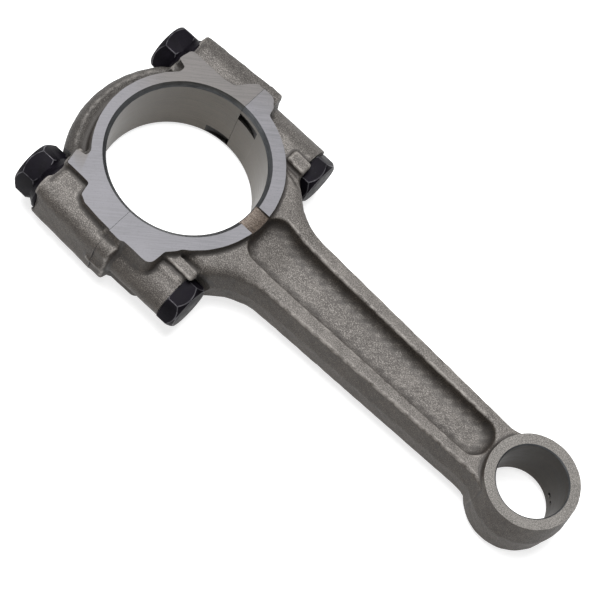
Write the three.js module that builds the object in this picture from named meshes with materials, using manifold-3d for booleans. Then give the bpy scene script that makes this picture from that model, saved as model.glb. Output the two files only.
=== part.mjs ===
// Forged steel connecting rod of a small diesel engine, with its cap, bolts, nuts and bush.
// Millimetres. +X runs from the big end to the small end, +Z along both bores.
// Inside the rod group, the origin is the centre of the big-end bore on the mid-plane.
// The exported group moves it so that z = 0 is the face the rod lies on.
import * as THREE from "three";
import { mergeVertices } from "three/addons/utils/BufferGeometryUtils.js";
import Module from "manifold-3d";

const wasm = await Module();
wasm.setup();

// ---------------------------------------------------------------- driving dimensions
const CENTRE_DISTANCE = 155;

const BIG_BORE_R = 27.2;
const BIG_HALF_WIDTH = 14.6;
const BORE_CHAMFER = 1.4;
const CAP_FACE_R = 32.2;
const ROD_FACE_R = 33.2;
const STRAP_R = 40.7;
const STRAP_HALF_WIDTH = 9.4;
const STRAP_ROOT_R = 29.2;
const STRAP_CREST_POWER = 0.6;
const STRAP_CREST_STEPS = 8;
const SPLIT_GAP = 0.1;

const EYE_MID_R = 17.6;
const EYE_FACE_R = 16.45;
const EYE_HALF_WIDTH = 12;
const BUSH_OUTER_R = 14;
const PIN_BORE_R = 12.45;
const BUSH_RECESS = 0.15;
const BUSH_EDGE = 0.4;
const FIT_GAP = 0.03;

const BEAM_HALF_THICKNESS = 8.85;
const BEAM_HALF_AT_BIG_END = 14.6;
const BEAM_HALF_AT_EYE = 11.75;
const BEAM_START_X = 52.5;
const SHOULDER_FILLET_R = 25;
const EYE_FILLET_R = 12;
const SHOULDER_HALF_THICKNESS = 13.3;
const SHOULDER_FLAT_END_X = 20;
const SHOULDER_EASE = 14;
const SHOULDER_CORNER_X = 31;
const SHOULDER_CORNER_Y = 25.6;
const SHOULDER_CORNER_R = 5;
const SHOULDER_NECK_R = 9;
const FORGING_DRAFT = THREE.MathUtils.degToRad(5.5);
const FLASH_LAND = 0.8;

const POCKET_START_X = 34.4;
const POCKET_END_X = 137.6;
const POCKET_HALF_AT_BIG_END = 9;
const POCKET_HALF_AT_EYE = 7.3;
const POCKET_CORNER_AT_BIG_END = 4;
const POCKET_CORNER_AT_EYE = 6;
const POCKET_DRAFT = THREE.MathUtils.degToRad(14);
const WEB_HALF_THICKNESS = 3.2;

const BOLT_Y = 33.4;
const BOLT_SHANK_R = 5;
const BOLT_HOLE_R = 5.2;
const BOLT_END_X = -38.2;
const HEAD_SEAT_X = 28;
const HEAD_HEIGHT = 6.4;
const HEAD_ACROSS_FLATS = 16;
const HEAD_TOP_R = 7.5;
const HEAD_TOP_CHAMFER = 2.6;
const HEAD_SEAT_CHAMFER = 0.5;
const BOLT_END_CHAMFER = 1;
const HEAD_POCKET_R = 10.8;

const NUT_SEAT_X = -26.4;
const NUT_HEIGHT = 11.1;
const NUT_ACROSS_FLATS = 17;
const NUT_FLANGE_R = 10.3;
const NUT_FLANGE_HEIGHT = 3.7;
const NUT_TOP_R = 7.9;
const NUT_TOP_CHAMFER = 2.2;
const NUT_BASE_CHAMFER = 0.6;
const NUT_FLANGE_EDGE = 1.1;
const NUT_BORE_R = 5.1;
const NUT_POCKET_R = 11.4;
const SEAT_GAP = 0.05;

const CAP_BOSS_OUTER_Y = 43.4;
const CAP_BOSS_SEAT_Y = 42.3;
const CAP_BOSS_HALF_THICKNESS = 9.6;
const BOSS_EDGE_R = 4.2;
const BOSS_INNER_Y = 24;
const COLLAR_LENGTH = 4.6;
const COLLAR_SLOPE = 4;
const ROD_BOSS_R = 8.8;

const FACE_NOTCH_HALF = 4.4;
const FACE_NOTCH_DEPTH = 1.1;
const TANG_CUTTER_R = 16;
const TANG_DEPTH = 1.3;
const TANG_WIDTH = 4.2;
const ROD_TANG_Z = 9.2;
const CAP_TANG_Z = -10.9;

// Machined ears beside the bore: corners as [x, y outwards, corner radius].
const ROD_EAR_FRONT = [
  [-1, 20],
  [14, 20],
  [13, 29.6, 1],
  [8, 31.9, 1.6],
  [7, 35.6, 1.4],
  [4, 38.5, 1.6],
  [-1, 38.5],
];
const ROD_EAR_REAR = [
  [-1, 20],
  [22, 20],
  [20.4, 27, 1.6],
  [17.7, 30.6, 1.6],
  [17.2, 37.6, 2.6],
  [6, 37.7, 0.8],
  [4.8, 38.3, 0.8],
  [-1, 38.3],
];
const CAP_EAR_FRONT = [
  [-23, 18],
  [1, 18],
  [1, 38.4],
  [-2.6, 38.4, 1.2],
  [-5.2, 35.6, 1.6],
  [-7.6, 31.8, 2.2],
  [-12, 30.9, 3],
  [-26.5, 30.9, 1.8],
  [-27.5, 25.4, 0.6],
  [-23.8, 24.2, 0.8],
];
const CAP_EAR_REAR = [
  [-23, 18],
  [1, 18],
  [1, 38.1],
  [-3, 37.9],
  [-12.2, 37.1, 1.6],
  [-15, 35.6, 1.4],
  [-16, 30.8, 1.2],
  [-26, 30.7, 0.6],
  [-27.2, 25.1, 0.5],
  [-23.7, 24.3, 0.7],
];

const OIL_HOLE_Z = -7.2;
const OIL_HOLES = [
  { angle: 50.5, radius: 1.0 },
  { angle: 38, radius: 0.8 },
];

// Sides of a full turn, the size at which corners merge, and how far cutters run past.
const FINE = 96;
const MEDIUM = 64;
const POCKET_SIDES = 48;
const SMALL = 36;
const TINY = 16;
const MERGE_TOLERANCE = 1e-4;
const OVERRUN = 6;
const REACH = 300;

// ---------------------------------------------------------------- materials
const steel = (color, roughness, metalness) =>
  new THREE.MeshStandardMaterial({ color, roughness, metalness });
const MATERIALS = {
  forging: () => steel(0x77726c, 0.62, 0.75),
  bush: () => steel(0x8a8278, 0.4, 0.85),
  blackOxide: () => steel(0x17161a, 0.42, 0.7),
};

// ---------------------------------------------------------------- solids and booleans
function solid(geometry, matrix = new THREE.Matrix4()) {
  const bare = geometry.index ? geometry.toNonIndexed() : geometry.clone();
  bare.deleteAttribute("normal");
  bare.deleteAttribute("uv");
  bare.applyMatrix4(matrix);
  const merged = mergeVertices(bare, MERGE_TOLERANCE);
  return new wasm.Manifold(
    new wasm.Mesh({
      numProp: 3,
      vertProperties: new Float32Array(merged.attributes.position.array),
      triVerts: new Uint32Array(merged.index.array),
    }),
  );
}

const unite = (first, ...others) => others.reduce((sum, one) => sum.add(one), first);
const cut = (body, ...tools) => tools.reduce((rest, tool) => rest.subtract(tool), body);

function namedMesh(name, body, material) {
  const mesh = body.getMesh();
  const geometry = new THREE.BufferGeometry();
  geometry.setAttribute("position", new THREE.BufferAttribute(mesh.vertProperties, 3));
  geometry.setIndex(new THREE.BufferAttribute(mesh.triVerts, 1));
  geometry.computeVertexNormals();
  const result = new THREE.Mesh(geometry, material());
  result.name = name;
  return result;
}

// A box between two corners.
function block(low, high) {
  const size = new THREE.Vector3().subVectors(high, low);
  const centre = new THREE.Vector3().addVectors(low, high).multiplyScalar(0.5);
  const place = new THREE.Matrix4().makeTranslation(centre);
  return solid(new THREE.BoxGeometry(size.x, size.y, size.z), place);
}

const at = (x, y, z) => new THREE.Vector3(x, y, z);
const rodSide = block(at(SPLIT_GAP / 2, -REACH, -REACH), at(REACH, REACH, REACH));
const capSide = block(at(-REACH, -REACH, -REACH), at(-SPLIT_GAP / 2, REACH, REACH));

// A solid of revolution about +Z through (x, y), from pairs of radius and height.
function turnedZ(profile, segments, x = 0, y = 0) {
  const points = profile.map(([radius, height]) => new THREE.Vector2(radius, height));
  const place = new THREE.Matrix4()
    .makeTranslation(x, y, 0)
    .multiply(new THREE.Matrix4().makeRotationX(Math.PI / 2));
  return solid(new THREE.LatheGeometry(points, segments), place);
}

// The same about the bolt's line, from pairs of radius and x, listed with x rising.
function turnedX(profile, segments) {
  const points = profile.map(([radius, x]) => new THREE.Vector2(radius, x));
  const alongX = new THREE.Matrix4().makeRotationZ(-Math.PI / 2);
  return solid(new THREE.LatheGeometry(points, segments), alongX);
}

const rodX = (radius, from, to, segments = SMALL) =>
  turnedX([[0, from], [radius, from], [radius, to], [0, to]], segments);
const atBolt = (body, side) => body.translate([0, side * BOLT_Y, 0]);

// An outline through corners given as [x, y, corner radius].
function roundedOutline(corners) {
  const shape = new THREE.Shape();
  corners.forEach(([x, y, radius = 0], index) => {
    const corner = new THREE.Vector2(x, y);
    const before = corners[(index + corners.length - 1) % corners.length];
    const after = corners[(index + 1) % corners.length];
    if (radius === 0) {
      if (index === 0) shape.moveTo(x, y);
      else shape.lineTo(x, y);
      return;
    }
    const back = new THREE.Vector2(before[0], before[1]).sub(corner).normalize();
    const ahead = new THREE.Vector2(after[0], after[1]).sub(corner).normalize();
    const halfAngle = Math.acos(back.dot(ahead)) / 2;
    const start = back.clone().multiplyScalar(radius / Math.tan(halfAngle)).add(corner);
    const end = ahead.clone().multiplyScalar(radius / Math.tan(halfAngle)).add(corner);
    const centre = back.clone().add(ahead).setLength(radius / Math.sin(halfAngle)).add(corner);
    const from = Math.atan2(start.y - centre.y, start.x - centre.x);
    const to = Math.atan2(end.y - centre.y, end.x - centre.x);
    if (index === 0) shape.moveTo(start.x, start.y);
    else shape.lineTo(start.x, start.y);
    shape.absarc(centre.x, centre.y, radius, from, to, back.cross(ahead) > 0);
  });
  return shape;
}

// A plan outline forged in two dies: full size at the mid-plane, drawn in towards both faces.
function forged(outline, halfThickness, draft = FORGING_DRAFT, curveSegments = 4) {
  const rise = halfThickness - FLASH_LAND / 2;
  const inset = rise * Math.tan(draft);
  const geometry = new THREE.ExtrudeGeometry(outline, {
    depth: FLASH_LAND,
    bevelThickness: rise,
    bevelSize: inset,
    bevelOffset: -inset,
    bevelSegments: 1,
    curveSegments,
  });
  return solid(geometry, new THREE.Matrix4().makeTranslation(0, 0, -FLASH_LAND / 2));
}

// A plan outline with rounded long edges.
function roundedSlab(outline, halfThickness, edgeR) {
  const depth = 2 * (halfThickness - edgeR);
  const geometry = new THREE.ExtrudeGeometry(outline, {
    depth,
    bevelThickness: edgeR,
    bevelSize: edgeR,
    bevelOffset: -edgeR,
    bevelSegments: 4,
    curveSegments: 4,
  });
  return solid(geometry, new THREE.Matrix4().makeTranslation(0, 0, -depth / 2));
}

// A plan outline with square edges, for machined faces.
function plainSlab(outline, halfThickness) {
  const geometry = new THREE.ExtrudeGeometry(outline, {
    depth: 2 * halfThickness,
    bevelEnabled: false,
    curveSegments: 3,
  });
  return solid(geometry, new THREE.Matrix4().makeTranslation(0, 0, -halfThickness));
}

// ---------------------------------------------------------------- cutters shared by rod and cap
// The big-end bore with a 45 degree chamfer at each mouth.
function bigBore() {
  const straight = BIG_HALF_WIDTH - BORE_CHAMFER;
  const flare = OVERRUN;
  return turnedZ(
    [
      [0, -straight - flare],
      [BIG_BORE_R + flare, -straight - flare],
      [BIG_BORE_R, -straight],
      [BIG_BORE_R, straight],
      [BIG_BORE_R + flare, straight + flare],
      [0, straight + flare],
    ],
    FINE,
  );
}

// The slot that a bearing shell's tang drops into, deepest at the split.
function tangSlot(centreZ) {
  const centreY = BIG_BORE_R + TANG_DEPTH - TANG_CUTTER_R;
  const low = centreZ - TANG_WIDTH / 2;
  const high = centreZ + TANG_WIDTH / 2;
  return turnedZ(
    [[0, low], [TANG_CUTTER_R, low], [TANG_CUTTER_R, high], [0, high]],
    MEDIUM,
    0,
    centreY,
  );
}

const thrustRing = (radius) =>
  turnedZ(
    [
      [0, -BIG_HALF_WIDTH],
      [radius, -BIG_HALF_WIDTH],
      [radius, BIG_HALF_WIDTH],
      [0, BIG_HALF_WIDTH],
    ],
    FINE,
  );

const boltHole = (side) => atBolt(rodX(BOLT_HOLE_R, -REACH, REACH), side);

function ear(side, corners) {
  const outline = corners.map(([x, y, radius]) => [x, side * y, radius]);
  if (side < 0) outline.reverse();
  return plainSlab(roundedOutline(outline), BIG_HALF_WIDTH);
}

// ---------------------------------------------------------------- rod forging
// The plan of the rod: shoulders, tapering beam and the fillets into the eye.
function rodPlan() {
  const shoulderY = BEAM_HALF_AT_BIG_END + SHOULDER_FILLET_R;
  const shoulderStart = Math.acos((shoulderY - BOLT_Y) / SHOULDER_FILLET_R);
  const filletY = BEAM_HALF_AT_EYE + EYE_FILLET_R;
  const reach = EYE_MID_R + EYE_FILLET_R;
  const filletX = CENTRE_DISTANCE - Math.sqrt(reach ** 2 - filletY ** 2);
  const meet = Math.atan2(-filletY, CENTRE_DISTANCE - filletX);
  const half = new THREE.Shape();
  half.moveTo(0, -1);
  half.lineTo(0, -BOLT_Y);
  half.absarc(
    BEAM_START_X,
    -shoulderY,
    SHOULDER_FILLET_R,
    Math.PI / 2 + shoulderStart,
    Math.PI / 2,
    true,
  );
  half.absarc(filletX, -filletY, EYE_FILLET_R, Math.PI / 2, -meet, true);
  half.lineTo(CENTRE_DISTANCE, -1);
  const lower = half.getPoints(8);
  const upper = lower.map((point) => new THREE.Vector2(point.x, -point.y)).reverse();
  return new THREE.Shape([...lower, ...upper]);
}

// The side view of the shoulders: thick beside the thrust face, down to the beam.
function shoulderProfile() {
  const profile = new THREE.Shape();
  profile.moveTo(0, -SHOULDER_HALF_THICKNESS);
  profile.lineTo(SHOULDER_FLAT_END_X, -SHOULDER_HALF_THICKNESS);
  profile.bezierCurveTo(
    SHOULDER_FLAT_END_X + SHOULDER_EASE,
    -SHOULDER_HALF_THICKNESS,
    BEAM_START_X - SHOULDER_EASE,
    -BEAM_HALF_THICKNESS,
    BEAM_START_X,
    -BEAM_HALF_THICKNESS,
  );
  profile.lineTo(BEAM_START_X, BEAM_HALF_THICKNESS);
  profile.bezierCurveTo(
    BEAM_START_X - SHOULDER_EASE,
    BEAM_HALF_THICKNESS,
    SHOULDER_FLAT_END_X + SHOULDER_EASE,
    SHOULDER_HALF_THICKNESS,
    SHOULDER_FLAT_END_X,
    SHOULDER_HALF_THICKNESS,
  );
  profile.lineTo(0, SHOULDER_HALF_THICKNESS);
  return profile;
}

// The thick part of the shoulders: their plan cut to the side view.
function shoulders() {
  const outline = roundedOutline([
    [0, -SHOULDER_CORNER_Y],
    [SHOULDER_CORNER_X, -SHOULDER_CORNER_Y, SHOULDER_CORNER_R],
    [BEAM_START_X, -BEAM_HALF_AT_BIG_END, SHOULDER_NECK_R],
    [BEAM_START_X + OVERRUN, 0],
    [BEAM_START_X, BEAM_HALF_AT_BIG_END, SHOULDER_NECK_R],
    [SHOULDER_CORNER_X, SHOULDER_CORNER_Y, SHOULDER_CORNER_R],
    [0, SHOULDER_CORNER_Y],
  ]);
  const sideView = new THREE.ExtrudeGeometry(shoulderProfile(), {
    depth: 2 * BOLT_Y,
    bevelEnabled: false,
    curveSegments: 8,
  });
  const place = new THREE.Matrix4()
    .makeTranslation(0, BOLT_Y, 0)
    .multiply(new THREE.Matrix4().makeRotationX(Math.PI / 2));
  return forged(outline, BIG_HALF_WIDTH).intersect(solid(sideView, place));
}

// One face's I-section pocket: drafted walls down to the web.
function webPocket(face) {
  const rise = BIG_HALF_WIDTH;
  const mouth = rise * Math.tan(POCKET_DRAFT);
  const toFlange = (BEAM_HALF_THICKNESS - WEB_HALF_THICKNESS) * Math.tan(POCKET_DRAFT);
  const grow = mouth - toFlange;
  const atBigEnd = POCKET_HALF_AT_BIG_END + grow;
  const atEye = POCKET_HALF_AT_EYE + grow;
  const bigEndCorner = POCKET_CORNER_AT_BIG_END + grow;
  const eyeCorner = POCKET_CORNER_AT_EYE + grow;
  const outline = roundedOutline([
    [POCKET_START_X - grow, -atBigEnd, bigEndCorner],
    [POCKET_END_X + grow, -atEye, eyeCorner],
    [POCKET_END_X + grow, atEye, eyeCorner],
    [POCKET_START_X - grow, atBigEnd, bigEndCorner],
  ]);
  const geometry = new THREE.ExtrudeGeometry(outline, {
    depth: FLASH_LAND,
    bevelThickness: rise,
    bevelSize: mouth,
    bevelOffset: -mouth,
    bevelSegments: 1,
    curveSegments: 4,
  });
  const wide = new THREE.Matrix4().makeTranslation(0, 0, WEB_HALF_THICKNESS + rise);
  const tool = solid(geometry, wide);
  return face > 0 ? tool : tool.mirror([0, 0, 1]);
}

const eyeBody = () =>
  turnedZ(
    [
      [0, -EYE_HALF_WIDTH],
      [EYE_FACE_R, -EYE_HALF_WIDTH],
      [EYE_MID_R, -FLASH_LAND / 2],
      [EYE_MID_R, FLASH_LAND / 2],
      [EYE_FACE_R, EYE_HALF_WIDTH],
      [0, EYE_HALF_WIDTH],
    ],
    MEDIUM,
    CENTRE_DISTANCE,
  );

const eyeBore = (radius) =>
  turnedZ(
    [[0, -REACH], [radius, -REACH], [radius, REACH], [0, REACH]],
    MEDIUM,
    CENTRE_DISTANCE,
  );

// A small drilling from the pin bore outwards through the eye and the bush.
function oilHole({ angle, radius }) {
  const drill = rodX(radius, PIN_BORE_R - OVERRUN, EYE_MID_R + OVERRUN, TINY);
  return drill.rotate([0, 0, angle]).translate([CENTRE_DISTANCE, 0, OIL_HOLE_Z]);
}

// Boss for one bolt: a collar that matches the cap, then a round barrel to the head's seat.
function rodBoss(side) {
  const collarOutline = roundedOutline([
    [-OVERRUN, BOSS_INNER_Y],
    [COLLAR_LENGTH + COLLAR_SLOPE, BOSS_INNER_Y],
    [COLLAR_LENGTH, CAP_BOSS_OUTER_Y],
    [-OVERRUN, CAP_BOSS_OUTER_Y],
  ]);
  const collar = roundedSlab(collarOutline, CAP_BOSS_HALF_THICKNESS, BOSS_EDGE_R);
  const barrel = rodX(ROD_BOSS_R, 0, HEAD_SEAT_X).translate([0, BOLT_Y, 0]);
  const boss = unite(barrel, collar);
  return side > 0 ? boss : boss.mirror([0, 1, 0]);
}

// The break in the thrust face on the rod's centre line, one for each face.
function faceNotch(face) {
  const low = at(BIG_BORE_R - OVERRUN, -FACE_NOTCH_HALF, BIG_HALF_WIDTH - FACE_NOTCH_DEPTH);
  const high = at(ROD_FACE_R + OVERRUN, FACE_NOTCH_HALF, BIG_HALF_WIDTH + OVERRUN);
  const tool = block(low, high);
  return face > 0 ? tool : tool.mirror([0, 0, 1]);
}

const headPocket = (side) => atBolt(rodX(HEAD_POCKET_R, HEAD_SEAT_X, REACH, POCKET_SIDES), side);

function rodForging() {
  const blank = unite(
    forged(rodPlan(), BEAM_HALF_THICKNESS),
    shoulders(),
    eyeBody(),
    thrustRing(ROD_FACE_R),
    rodBoss(1),
    rodBoss(-1),
    ear(1, ROD_EAR_FRONT),
    ear(-1, ROD_EAR_REAR),
  ).intersect(rodSide);
  return cut(
    blank,
    webPocket(1),
    webPocket(-1),
    headPocket(1),
    headPocket(-1),
    bigBore(),
    faceNotch(1),
    faceNotch(-1),
    tangSlot(ROD_TANG_Z),
    boltHole(1),
    boltHole(-1),
    eyeBore(BUSH_OUTER_R + FIT_GAP),
    ...OIL_HOLES.map(oilHole),
  );
}

// ---------------------------------------------------------------- bush
function smallEndBush() {
  const half = EYE_HALF_WIDTH - BUSH_RECESS;
  const sleeve = turnedZ(
    [
      [PIN_BORE_R, -half + BUSH_EDGE],
      [PIN_BORE_R + BUSH_EDGE, -half],
      [BUSH_OUTER_R, -half],
      [BUSH_OUTER_R, half],
      [PIN_BORE_R + BUSH_EDGE, half],
      [PIN_BORE_R, half - BUSH_EDGE],
      [PIN_BORE_R, -half + BUSH_EDGE],
    ],
    MEDIUM,
    CENTRE_DISTANCE,
  );
  return cut(sleeve, ...OIL_HOLES.map(oilHole));
}

// ---------------------------------------------------------------- cap
// The strap round the back of the bore, with a rounded crest.
function strap() {
  const crest = STRAP_R - STRAP_ROOT_R;
  const profile = [
    [STRAP_ROOT_R, -STRAP_HALF_WIDTH],
    [CAP_FACE_R, -STRAP_HALF_WIDTH],
  ];
  for (let step = 1; step < STRAP_CREST_STEPS; step += 1) {
    const turn = -Math.PI / 2 + (Math.PI * step) / STRAP_CREST_STEPS;
    const radius = STRAP_ROOT_R + crest * Math.cos(turn) ** STRAP_CREST_POWER;
    profile.push([radius, STRAP_HALF_WIDTH * Math.sin(turn)]);
  }
  profile.push(
    [CAP_FACE_R, STRAP_HALF_WIDTH],
    [STRAP_ROOT_R, STRAP_HALF_WIDTH],
    [STRAP_ROOT_R, -STRAP_HALF_WIDTH],
  );
  return turnedZ(profile, FINE);
}

function capBoss(side) {
  const outline = roundedOutline([
    [NUT_SEAT_X - OVERRUN, BOSS_INNER_Y - OVERRUN],
    [OVERRUN, BOSS_INNER_Y - OVERRUN],
    [OVERRUN, CAP_BOSS_OUTER_Y],
    [0, CAP_BOSS_OUTER_Y],
    [NUT_SEAT_X, CAP_BOSS_SEAT_Y],
    [NUT_SEAT_X - OVERRUN, CAP_BOSS_SEAT_Y],
  ]);
  const boss = roundedSlab(outline, CAP_BOSS_HALF_THICKNESS, BOSS_EDGE_R);
  return side > 0 ? boss : boss.mirror([0, 1, 0]);
}

const nutPocket = (side) => atBolt(rodX(NUT_POCKET_R, -REACH, NUT_SEAT_X, POCKET_SIDES), side);

function capForging() {
  const seatPlane = block(at(NUT_SEAT_X, -REACH, -REACH), at(0, REACH, REACH));
  const beside = unite(capBoss(1), capBoss(-1), ear(1, CAP_EAR_FRONT), ear(-1, CAP_EAR_REAR));
  const blank = unite(
    strap(),
    thrustRing(CAP_FACE_R),
    beside.intersect(seatPlane),
  ).intersect(capSide);
  return cut(
    blank,
    nutPocket(1),
    nutPocket(-1),
    bigBore(),
    tangSlot(CAP_TANG_Z),
    boltHole(1),
    boltHole(-1),
  );
}

// ---------------------------------------------------------------- fasteners, on the line y = z = 0
const hexCornerR = (acrossFlats) => acrossFlats / 2 / Math.cos(Math.PI / 6);
const CORNER_TO_Y = 30;

// A hexagonal prism with corners at +Y and -Y.
function hexPrism(acrossFlats, fromX, toX) {
  const prism = rodX(hexCornerR(acrossFlats), fromX, toX, 6);
  return prism.rotate([CORNER_TO_Y, 0, 0]);
}

function capBolt() {
  const seat = HEAD_SEAT_X + SEAT_GAP;
  const top = seat + HEAD_HEIGHT;
  const cornerR = hexCornerR(HEAD_ACROSS_FLATS);
  const envelope = turnedX(
    [
      [0, seat],
      [cornerR - HEAD_SEAT_CHAMFER, seat],
      [cornerR, seat + HEAD_SEAT_CHAMFER],
      [cornerR, top - HEAD_TOP_CHAMFER],
      [HEAD_TOP_R, top],
      [0, top],
    ],
    SMALL,
  );
  const head = hexPrism(HEAD_ACROSS_FLATS, seat, top).intersect(envelope);
  const shankEnd = seat + HEAD_HEIGHT / 2;
  const shank = turnedX(
    [
      [0, BOLT_END_X],
      [BOLT_SHANK_R - BOLT_END_CHAMFER, BOLT_END_X],
      [BOLT_SHANK_R, BOLT_END_X + BOLT_END_CHAMFER],
      [BOLT_SHANK_R, shankEnd],
      [0, shankEnd],
    ],
    SMALL,
  );
  return head.add(shank);
}

function capNut() {
  const seat = NUT_SEAT_X - SEAT_GAP;
  const top = seat - NUT_HEIGHT;
  const hexBase = seat - NUT_FLANGE_HEIGHT;
  const hexEnd = hexBase + NUT_BASE_CHAMFER;
  const cornerR = hexCornerR(NUT_ACROSS_FLATS);
  const envelope = turnedX(
    [
      [0, top],
      [NUT_TOP_R, top],
      [cornerR, top + NUT_TOP_CHAMFER],
      [cornerR, hexBase - NUT_BASE_CHAMFER],
      [cornerR - NUT_BASE_CHAMFER, hexEnd],
      [0, hexEnd],
    ],
    SMALL,
  );
  const hex = hexPrism(NUT_ACROSS_FLATS, top, hexEnd).intersect(envelope);
  const flange = turnedX(
    [
      [0, hexBase],
      [NUT_ACROSS_FLATS / 2, hexBase],
      [NUT_FLANGE_R, seat - NUT_FLANGE_EDGE],
      [NUT_FLANGE_R, seat],
      [0, seat],
    ],
    SMALL,
  );
  return cut(hex.add(flange), rodX(NUT_BORE_R, top - OVERRUN, seat + OVERRUN));
}

// ---------------------------------------------------------------- assembly
// Where each hexagon's corners came to rest when the bolts were torqued, in degrees about +X.
const FASTENERS = [
  { label: "front", side: 1, headTurn: 70, nutTurn: 59.4 },
  { label: "rear", side: -1, headTurn: 125, nutTurn: 197.9 },
];

function fastener(name, body, side, turnDegrees) {
  const mesh = namedMesh(name, body, MATERIALS.blackOxide);
  mesh.position.y = side * BOLT_Y;
  mesh.rotation.x = THREE.MathUtils.degToRad(turnDegrees);
  return mesh;
}

const rodGroup = new THREE.Group();
rodGroup.add(namedMesh("rod", rodForging(), MATERIALS.forging));
rodGroup.add(namedMesh("big_end_cap", capForging(), MATERIALS.forging));
rodGroup.add(namedMesh("small_end_bush", smallEndBush(), MATERIALS.bush));
for (const { label, side, headTurn, nutTurn } of FASTENERS) {
  rodGroup.add(fastener(`cap_bolt_${label}`, capBolt(), side, headTurn));
  rodGroup.add(fastener(`cap_nut_${label}`, capNut(), side, nutTurn));
}

// The rod lies on its big-end thrust face, centred on its own length.
const MIDDLE_X = (CENTRE_DISTANCE + EYE_MID_R - STRAP_R) / 2;
rodGroup.position.set(-MIDDLE_X, 0, BIG_HALF_WIDTH);

const connectingRod = new THREE.Group();
connectingRod.add(rodGroup);

export default connectingRod;
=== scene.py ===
"""The connecting rod's looks: forgings with soft corners and crisp machined faces, black fasteners.

Shapes are worked out in millimetres in the rod's own frame: its origin is the centre of the big-end bore, +X
points to the small end and +Z along the bores. They are moved onto the CAD frame as each mesh is made.
"""
import math

import bmesh
import bpy
import numpy as np
from mathutils import Matrix, Vector


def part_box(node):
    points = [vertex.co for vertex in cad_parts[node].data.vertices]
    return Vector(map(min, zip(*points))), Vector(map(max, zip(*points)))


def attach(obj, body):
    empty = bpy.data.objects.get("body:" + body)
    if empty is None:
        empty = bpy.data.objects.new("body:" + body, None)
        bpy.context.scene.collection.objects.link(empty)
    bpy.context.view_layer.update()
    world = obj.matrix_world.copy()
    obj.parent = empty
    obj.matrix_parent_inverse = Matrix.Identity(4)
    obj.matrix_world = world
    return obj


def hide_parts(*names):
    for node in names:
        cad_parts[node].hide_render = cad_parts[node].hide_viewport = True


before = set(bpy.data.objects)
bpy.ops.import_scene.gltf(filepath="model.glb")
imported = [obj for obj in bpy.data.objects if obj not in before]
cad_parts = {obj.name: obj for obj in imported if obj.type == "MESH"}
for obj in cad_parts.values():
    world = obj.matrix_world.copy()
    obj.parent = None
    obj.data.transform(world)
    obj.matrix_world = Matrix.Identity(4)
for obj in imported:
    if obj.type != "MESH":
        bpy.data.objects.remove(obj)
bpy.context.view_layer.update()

# ---------------------------------------------------------------- where the CAD puts things
MM = 1000.0
CENTRE_DISTANCE = 155.0
SEAT_GAP = 0.05


def middle(node):
    low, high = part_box(node)
    return (low + high) / 2 * MM


EYE_AT = middle("small_end_bush")
ORIGIN = Vector((EYE_AT.x - CENTRE_DISTANCE, EYE_AT.y, EYE_AT.z))
BOLT_Y = middle("cap_bolt_front").y
NUT_SEAT_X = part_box("cap_nut_front")[1].x * MM - ORIGIN.x + SEAT_GAP
HEAD_TOP_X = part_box("cap_bolt_front")[1].x * MM - ORIGIN.x
BOLT_END_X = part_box("cap_bolt_front")[0].x * MM - ORIGIN.x

# ---------------------------------------------------------------- sizes, in millimetres
BIG_BORE_R = 27.2
BIG_HALF_WIDTH = 14.6
BORE_CHAMFER = 1.4
CAP_FACE_R = 32.2
ROD_FACE_R = 33.2
STRAP_R = 40.3
STRAP_HALF_WIDTH = 9.4
SPLIT_GAP = 0.1
EYE_MID_R = 17.6
EYE_HALF_WIDTH = 12.0
BUSH_OUTER_R = 14.0
PIN_BORE_R = 12.45
BEAM_HALF_THICKNESS = 8.85
DRAFT = math.tan(math.radians(5.5))
BOLT_HOLE_R = 5.2
HEAD_SEAT_X = 28.0
HEAD_POCKET_R = 10.8
NUT_POCKET_R = 11.4
POCKET_CORNER_R = 0.9
TANG_CUTTER_R = 16.0
TANG_DEPTH = 1.3
TANG_HALF_WIDTH = 2.1
ROD_TANG_Z = 9.2
CAP_TANG_Z = -10.9
NOTCH_HALF_WIDTH = 4.4
NOTCH_FLOOR_Z = 13.5
NOTCH_X = (20, 37)
# The oil drillings: angle from +X in degrees, and radius.
OIL_HOLES = ((50.5, 1.0), (38.0, 0.8))
OIL_HOLE_Z = -7.2
OIL_HOLE_REACH = (8, 24)
BUSH_EDGE = 0.45
BUSH_SHORT = 0.03
HOUSING_GAP = 0.01

# The forgings' grids, and where along X the rod's two ends are faced.
GRID = 0.55
ROD_GRID = ((-1.6, -46, -16.4), (174.5, 46, 16.4))
CAP_GRID = ((-42.5, -46, -16.4), (1.6, 46, 16.4))
BIG_END_TO_X = 90
EYE_X = (120, 190)
# How far the cutters reach from the big end's centre, past its sides.
FAR = 60.0
CUTTER_SEGMENTS = 96

# Slopes, rises, edge blends and smaller features of the forgings.
FACE_SLOPE = 0.1
FACE_FILLET = 0.9
BEAM_EDGE = 1.1
SHOULDER_RISE = 3.4
SHOULDER_RISE_R = 55
SHOULDER_RISE_LENGTH = 24
SHOULDER_EDGE = 3.6
POCKET_SLOPE = 0.27
POCKET_FILLET = 3.2
WEB_HALF = 3.2
WEB_RISE = 3.6
WEB_RISE_X = 50
WEB_RISE_LENGTH = 17
RIDGE_HALF_HEIGHT = 12.0
GROOVE_Z = 12.4
BOSS_HALF = 11.0
BOSS_EDGE = 4.9
BOSS_INNER_Y = 23
WEDGE_Y = 37.8
STRAP_ROOT_R = 28.0
STRAP_FULLNESS = 2.5
TROUGH_R = 33.9
TROUGH_Z = 9.4
TROUGH_DEPTH = 2.9
SHELF_Y = 37.6
SHELF_HALF = 11.8

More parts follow.
